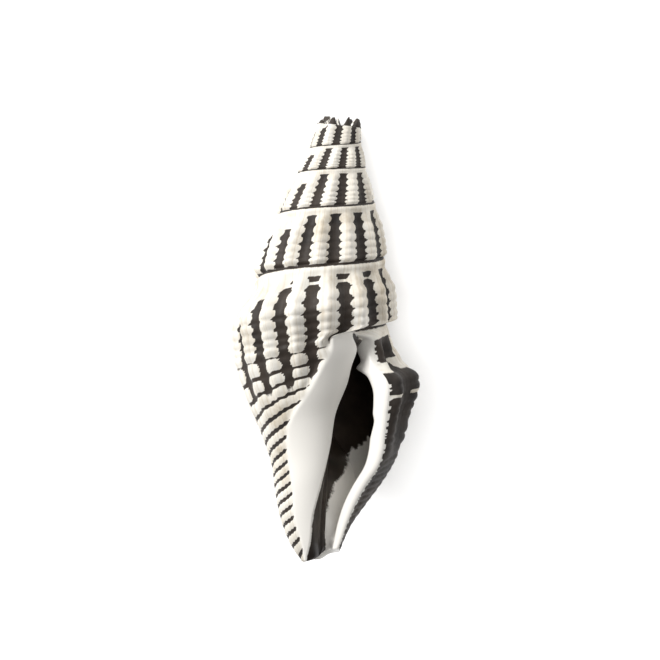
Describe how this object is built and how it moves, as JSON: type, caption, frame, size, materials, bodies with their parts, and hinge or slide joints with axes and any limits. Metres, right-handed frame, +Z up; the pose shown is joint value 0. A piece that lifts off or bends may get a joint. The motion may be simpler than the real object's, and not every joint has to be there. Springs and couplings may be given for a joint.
{
  "type": "clavatula panopla shell",
  "caption": "Spindle-shaped ribbed sea snail shell with a stepped spire, a narrow mouth and a short open canal, lying on its back.",
  "frame": {"origin": "centre of the bounding box, on the surface that the shell rests on", "axes": "+Z up, out of the mouth side; +Y along the shell towards the top of the spire; +X to the lip's side"},
  "size_m": [0.0112, 0.0256, 0.0094],
  "materials": {
    "shell": "satin"
  },
  "bodies": {
    "root": {"shell": "shell"}
  },
  "joints": []
}
